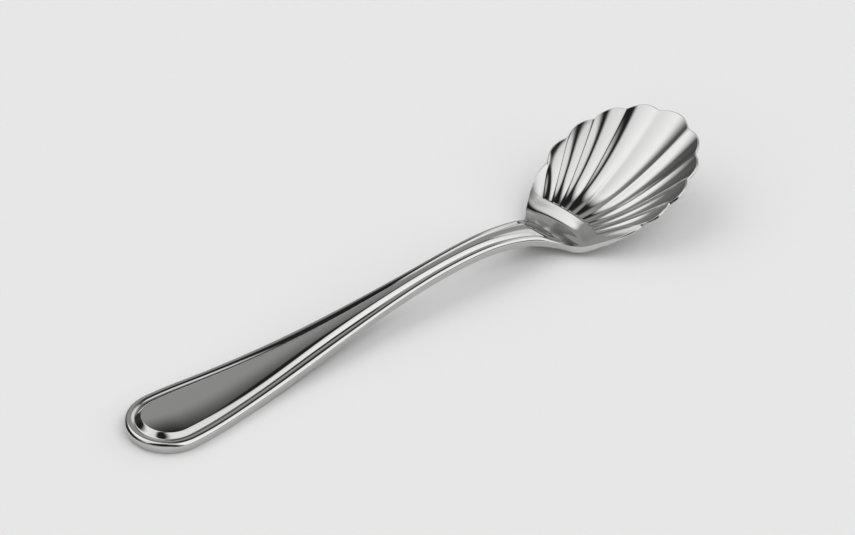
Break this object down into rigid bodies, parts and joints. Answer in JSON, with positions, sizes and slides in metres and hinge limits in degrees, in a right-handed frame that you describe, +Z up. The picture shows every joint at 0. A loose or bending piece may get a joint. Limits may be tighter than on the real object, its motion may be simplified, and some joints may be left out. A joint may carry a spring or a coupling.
{
  "type": "sugar spoon",
  "caption": "One-piece polished stainless sugar spoon with a fluted scallop-shell bowl, an arched stem and a flared handle with a raised panel and beaded edges.",
  "frame": {"origin": "middle of the spoon's length and width, on the table it lies on", "axes": "+X from the handle end to the tip of the bowl, +Y across the spoon, +Z up, out of the bowl"},
  "size_m": [0.14, 0.033, 0.0161],
  "materials": {
    "polished_steel": "mirror polished"
  },
  "bodies": {
    "root": {"handle": "polished_steel", "neck": "polished_steel", "shell_bowl": "polished_steel"}
  },
  "joints": []
}
